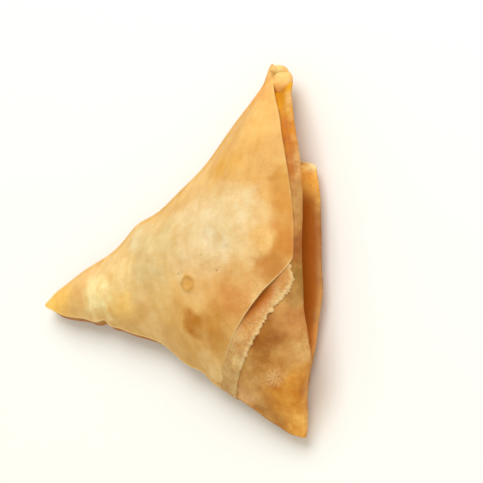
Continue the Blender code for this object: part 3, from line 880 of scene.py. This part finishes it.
# Places where the skin came up in a mass of tiny blisters, with how far each reaches.
BUBBLY = (
    ((16.5, -3.4, 20.0), 6.0),
    ((29.3, -13.9, 18.0), 7.5),
    ((23.0, -21.0, 17.0), 6.0),
    ((30.7, -34.7, 12.0), 5.0),
    ((31.8, 20.0, 16.0), 6.0),
)

# Ring blisters, with their radii and how much they show.
RINGS = (
    ((10.5, -7.8, 19.2), 1.7, 0.75),
    ((32.0, -39.6, 10.2), 1.3, 0.25),
    ((26.0, -32.6, 12.6), 0.8, 0.3),
    ((35.2, -33.4, 12.0), 0.8, 0.3),
)

# Burnt specks, with their radii.
SPECKS = (
    ((8.8, -7.7, 18.7), 0.5),
    ((7.5, -4.8, 18.8), 0.3),
    ((19.3, -6.0, 19.7), 0.35),
    ((14.9, -1.1, 19.7), 0.25),
)

# Flower-like blisters, with their radii.
FLOWERS = (((30.5, -34.7, 12.2), 3.0),)


def fried_pastry(name, tones, shade, toast_and_light, roughness, blister, powder):
    """Thin wheat pastry, rolled out and fried in oil: a mottled gold skin with a dull oily sheen, toasted
    in places, with bubbles well under a millimetre across and lumps of filling behind it.

    tones are the plain skin, its broad darker clouds and its flecks; shade tints the small mottling; powder
    is how dry and torn the skin is. A Mix takes its share at 0 and its colours at 6 and 7, a MapRange its
    range at 1 and 2 and what that becomes at 3 and 4."""
    material = bpy.data.materials.new(name)
    material.use_nodes = True
    tree = material.node_tree
    shader = tree.nodes["Principled BSDF"]
    place = add(tree, "TexCoord", {}).outputs["Object"]
    place = add(tree, "VectorMath", {0: place, "Scale": 1.0 / MM}, operation="SCALE").outputs[0]
    ruffle = add(tree, "TexNoise", {"Vector": place, "Scale": 1.0 / 4.5, "Detail": 3.0}).outputs["Color"]
    ruffle = add(tree, "VectorMath", {0: ruffle, 1: (0.5, 0.5, 0.5)}, operation="SUBTRACT").outputs[0]

    # The place, ruffled by a lot, by less and by little, so that no tone has a clean border.
    ruffled, streaky, uneven = (
        add(tree, "VectorMath", {0: ruffle, 1: (push,) * 3, 2: place}, operation="MULTIPLY_ADD").outputs[0]
        for push in (9.0, 3.0, 1.6)
    )

    # Broad tones, from the pastry's own colour to where the oil browned it.
    broad = add(tree, "TexNoise", {"Vector": place, "Scale": 1.0 / 13.0, "Detail": 4.0, "Roughness": 0.55})
    mottle = add(tree, "MapRange", {"Value": broad.outputs[0], 1: 0.36, 2: 0.64}).outputs[0]
    plain, clouded = linear(tones[0]), linear(tones[1])
    colour = add(tree, "Mix", {0: mottle, 6: plain, 7: clouded}, data_type="RGBA").outputs[2]
    # Toasted places, and places where light or shade is painted, each a soft spot of colour.
    for _, spot, reach, strength, tone in toast_and_light:
        away = add(tree, "VectorMath", {0: ruffled, 1: spot}, operation="DISTANCE").outputs["Value"]
        fade = {"Value": away, 1: reach * 0.25, 2: reach * 1.2, 3: strength, 4: 0.0}
        near = add(tree, "MapRange", fade, interpolation_type="SMOOTHSTEP").outputs[0]
        colour = add(tree, "Mix", {0: near, 6: colour, 7: linear(tone)}, data_type="RGBA").outputs[2]

    # Soft streaks run down from the rolled tip, 3 mm apart and some 20 mm long.
    tinting = {"data_type": "RGBA", "blend_type": "MULTIPLY"}
    white = linear("#FFFFFF")
    streak = add(tree, "VectorMath", {0: streaky, 1: (3.0, 20.0, 3.0)}, operation="DIVIDE").outputs[0]
    streak = add(tree, "TexNoise", {"Vector": streak, "Scale": 1.0, "Detail": 2.0}).outputs[0]
    streak = add(tree, "MapRange", {"Value": streak, 1: 0.38, 2: 0.62}).outputs[0]
    light = add(tree, "Mix", {0: streak, 6: linear("#FAF4E8"), 7: white}, data_type="RGBA").outputs[2]
    colour = add(tree, "Mix", {0: 1.0, 6: colour, 7: light}, **tinting).outputs[2]

    # Cloudy mottling 4 mm across, then flecks of half a millimetre.
    cloud = add(tree, "TexNoise", {"Vector": place, "Scale": 1.0 / 4.0, "Detail": 5.0, "Roughness": 0.6})
    cloud = add(tree, "MapRange", {"Value": cloud.outputs[0], 1: 0.34, 2: 0.62}).outputs[0]
    darker = add(tree, "Mix", {0: cloud, 6: linear(shade), 7: white}, data_type="RGBA").outputs[2]
    colour = add(tree, "Mix", {0: 1.0, 6: colour, 7: darker}, **tinting).outputs[2]
    fleck = add(tree, "TexNoise", {"Vector": place, "Scale": 1.0 / 0.55, "Detail": 3.0})
    fleck = add(tree, "MapRange", {"Value": fleck.outputs[0], 1: 0.56, 2: 0.72}).outputs[0]
    fleck = add(tree, "Math", {0: fleck, 1: 0.2 + 0.5 * powder}, operation="MULTIPLY").outputs[0]

    # What is laid over these, in order: how much shows where, and its colour.
    laid = [(fleck, tones[2])]

    # Ring blisters: a darker line round a golden middle. Then the burnt specks.
    for spot, radius, strength in RINGS:
        away = add(tree, "VectorMath", {0: uneven, 1: spot}, operation="DISTANCE").outputs["Value"]
        fade = {"Value": away, 1: radius * 0.4, 2: radius * 1.5, 3: 0.8 * strength, 4: 0.0}
        disc = add(tree, "MapRange", fade).outputs[0]
        laid.append((disc, "#D89E40"))
        off = add(tree, "Math", {0: away, 1: radius}, operation="SUBTRACT").outputs[0]
        off = add(tree, "Math", {0: off}, operation="ABSOLUTE").outputs[0]
        line = add(tree, "MapRange", {"Value": off, 1: 0.0, 2: 0.75, 3: 0.75 * strength, 4: 0.0}).outputs[0]
        laid.append((line, "#BC862C"))
    for spot, radius in SPECKS:
        away = add(tree, "VectorMath", {0: uneven, 1: spot}, operation="DISTANCE").outputs["Value"]
        fade = {"Value": away, 1: radius * 0.4, 2: radius * 1.4, 3: 0.55, 4: 0.0}
        speck = add(tree, "MapRange", fade).outputs[0]
        laid.append((speck, "#8C6430"))

    # Flower-like blisters: nine pale petals with browner creases between them.
    petals = 0.0
    for spot, radius in FLOWERS:
        off = add(tree, "VectorMath", {0: uneven, 1: spot}, operation="SUBTRACT").outputs[0]
        away = add(tree, "VectorMath", {0: off}, operation="LENGTH").outputs["Value"]
        parts = add(tree, "SeparateXYZ", {0: off})
        turn = add(tree, "Math", {0: parts.outputs[1], 1: parts.outputs[0]}, operation="ARCTAN2").outputs[0]
        stray = add(tree, "SeparateXYZ", {0: ruffle}).outputs[0]
        stray = add(tree, "Math", {0: stray, 1: 22.0}, operation="MULTIPLY").outputs[0]
        turn = add(tree, "Math", {0: turn, 1: 9.0, 2: stray}, operation="MULTIPLY_ADD").outputs[0]
        wave = add(tree, "Math", {0: turn}, operation="SINE").outputs[0]
        rays = add(tree, "MapRange", {"Value": wave, 1: -0.8, 2: 0.8}).outputs[0]
        inner = add(tree, "MapRange", {"Value": away, 1: 0.25, 2: 0.8}).outputs[0]
        outer = add(tree, "MapRange", {"Value": away, 1: radius, 2: radius * 0.45}).outputs[0]
        reach = add(tree, "Math", {0: inner, 1: outer}, operation="MULTIPLY").outputs[0]
        petals = add(tree, "Math", {0: rays, 1: reach}, operation="MULTIPLY").outputs[0]
        gaps = add(tree, "Math", {0: reach, 1: petals}, operation="SUBTRACT").outputs[0]
        gaps = add(tree, "Math", {0: gaps, 1: 0.08}, operation="MULTIPLY").outputs[0]
        pale = add(tree, "Math", {0: petals, 1: 0.32}, operation="MULTIPLY").outputs[0]
        laid += [(pale, "#FFE0B2"), (gaps, "#B07830")]

    # Tiny blisters a third of a millimetre across, with a painted highlight on their tops; where the skin
    # is dry and torn the pale tops also stand for flour.
    bubbly = powder
    for spot, reach in BUBBLY:
        away = add(tree, "VectorMath", {0: ruffled, 1: spot}, operation="DISTANCE").outputs["Value"]
        near = add(tree, "MapRange", {"Value": away, 1: reach * 0.3, 2: reach, 3: 1.0, 4: 0.0}).outputs[0]
        bubbly = add(tree, "Math", {0: near, 1: bubbly}, operation="MAXIMUM").outputs[0]
    tops = add(tree, "TexVoronoi", {"Vector": place, "Scale": 1.0 / 0.42}).outputs[0]
    tops = add(tree, "MapRange", {"Value": tops, 1: 0.42, 2: 0.16}).outputs[0]
    tops = add(tree, "Math", {0: tops, 1: bubbly}, operation="MULTIPLY").outputs[0]
    blister_sheen_and_flour = add(tree, "Math", {0: tops, 1: 0.17 + 0.2 * powder}, operation="MULTIPLY").outputs[0]
    laid.append((blister_sheen_and_flour, "#FFEBC4"))

    # Darker pits a quarter of a millimetre wide, a millimetre apart, where the skin bubbled most.
    pits = add(tree, "TexVoronoi", {"Vector": uneven, "Scale": 1.0 / 0.95}).outputs[0]
    pits = add(tree, "MapRange", {"Value": pits, 1: 0.26, 2: 0.12, 3: 0.0, 4: 0.3}).outputs[0]
    pits = add(tree, "Math", {0: pits, 1: bubbly}, operation="MULTIPLY").outputs[0]
    laid.append((pits, "#8F6C38"))

    # Painted shade, orange brown, in the groove, under the front fold and where the flap shades the parcel
    # and the ply, and at half strength over the parcel's underside. The pale mark is a painted highlight on
    # the lower lip's crest and along the flap's edges, and on the ply the real pale torn border.
    deep = add(tree, "Attribute", {}, attribute_name="deep").outputs["Fac"]
    laid.append((deep, "#B86610"))
    cut = add(tree, "Attribute", {}, attribute_name="cut").outputs["Fac"]
    cut = add(tree, "Math", {0: cut, 1: 0.7}, operation="MULTIPLY").outputs[0]
    laid.append((cut, "#F3D9A2"))
    for share, tone in laid:
        colour = add(tree, "Mix", {0: share, 6: colour, 7: linear(tone)}, data_type="RGBA").outputs[2]
    tree.links.new(colour, shader.inputs["Base Color"])

    # Bubbled skin: bubbles of 0.5 and 1.4 mm, and fine creases a quarter of a millimetre apart.
    fine = {"Vector": place, "Scale": 1.0 / 0.5, "Detail": 4.0, "Roughness": 0.6}
    fine = add(tree, "TexNoise", fine).outputs[0]
    bubbles = {"Vector": ruffled, "Scale": 1.0 / 1.4, "Smoothness": 0.6}
    bubbles = add(tree, "TexVoronoi", bubbles, feature="SMOOTH_F1").outputs[0]
    relief = {"Strength": 0.5 * blister, "Distance": 0.12 * MM, "Height": bubbles}
    relief = add(tree, "Bump", relief, invert=True).outputs[0]
    for height, strength, rise in (
        (tops, 0.6, 0.12),
        (petals, 0.15, 0.1),
        (fine, 0.45 + 0.5 * powder, 0.1),
    ):
        stacked = {"Strength": strength, "Distance": rise * MM, "Height": height, "Normal": relief}
        relief = add(tree, "Bump", stacked).outputs[0]
    tree.links.new(relief, shader.inputs["Normal"])

    shine = add(tree, "MapRange", {"Value": cloud, 3: roughness - 0.08, 4: roughness + 0.12}).outputs[0]
    tree.links.new(shine, shader.inputs["Roughness"])
    shader.inputs["IOR"].default_value = 1.45
    shader.inputs["Specular IOR Level"].default_value = 0.24
    shader.inputs["Subsurface Weight"].default_value = 0.18
    shader.inputs["Subsurface Radius"].default_value = (0.7, 0.4, 0.18)
    shader.inputs["Subsurface Scale"].default_value = 1.5 * MM
    return material


def dress(thing, material):
    """Gives a piece its finish and its place on the body."""
    thing.data.materials.append(material)
    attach(thing, BODY)


# ------------ studio


def studio():
    """Pale floor, soft light from the upper left, and the camera."""
    bpy.ops.mesh.primitive_plane_add(size=6.0, location=(0.0, 0.0, 0.0))
    floor = bpy.context.object
    floor.name = "studio_floor"
    paint = bpy.data.materials.new("white_sweep")
    paint.use_nodes = True
    shader = paint.node_tree.nodes["Principled BSDF"]
    shader.inputs["Base Color"].default_value = (0.9, 0.9, 0.9, 1.0)
    shader.inputs["Roughness"].default_value = 0.9
    shader.inputs["Specular IOR Level"].default_value = 0.1
    floor.data.materials.append(paint)

    world = bpy.data.worlds.new("soft_room")
    bpy.context.scene.world = world
    world.use_nodes = True
    world.node_tree.nodes["Background"].inputs["Color"].default_value = (1.0, 0.93, 0.76, 1.0)
    world.node_tree.nodes["Background"].inputs["Strength"].default_value = 0.62

    for name, spot, size, power, tint in (
        ("key", (0.14, 0.6, 0.82), 0.8, 8.2, (0.95, 0.98, 1.0)),
        ("fill", (0.7, -0.5, 0.8), 0.9, 1.6, (1.0, 0.98, 0.96)),
    ):
        lamp = bpy.data.lights.new(name, "AREA")
        lamp.energy = power
        lamp.color = tint
        lamp.size = size
        holder = bpy.data.objects.new(name, lamp)
        holder.location = spot
        holder.rotation_euler = (-Vector(spot)).to_track_quat("-Z", "Y").to_euler()
        bpy.context.scene.collection.objects.link(holder)

    lens = bpy.data.cameras.new("camera")
    lens.lens = CAMERA_LENS
    lens.sensor_width = 36.0
    lens.clip_start = 0.01
    lens.clip_end = 20.0
    camera = bpy.data.objects.new("camera", lens)
    camera.location = CAMERA_PLACE
    level = (Vector(CAMERA_AIM) - camera.location).to_track_quat("-Z", "Y")
    camera.rotation_euler = (level @ Quaternion((0.0, 0.0, 1.0), math.radians(CAMERA_ROLL))).to_euler()
    bpy.context.scene.collection.objects.link(camera)
    bpy.context.scene.camera = camera
    bpy.context.scene.view_settings.view_transform = "Standard"


def main():
    """Makes the finishes and the pieces, then the studio."""
    face = fried_pastry(
        "pastry_fried_gold",
        tones=("#E8C484", "#DEB46E", "#C9954B"),
        shade="#F6ECDA",
        toast_and_light=FACE_TOAST_AND_LIGHT,
        roughness=0.5,
        blister=1.0,
        powder=0.0,
    )
    layer = fried_pastry(
        "pastry_fried_brown",
        tones=("#D0A05C", "#C08C48", "#A0692C"),
        shade="#E2C8A0",
        toast_and_light=LAYER_TOAST_AND_LIGHT,
        roughness=0.48,
        blister=1.0,
        powder=0.1,
    )
    ragged = fried_pastry(
        "pastry_torn_edge",
        tones=("#E3C48C", "#DDB578", "#A98446"),
        shade="#E6CCA6",
        toast_and_light=PLY_TOAST_AND_LIGHT,
        roughness=0.62,
        blister=0.6,
        powder=1.0,
    )
    parcel_piece = parcel()
    dress(parcel_piece, layer)
    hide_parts(NODE)
    dress(last_flap(), face)
    dress(frayed_ply(), ragged)
    dress(rolled_nub(), face)
    dress(tip_curl(), face)
    dress(under_flap(), layer)
    studio()


main()
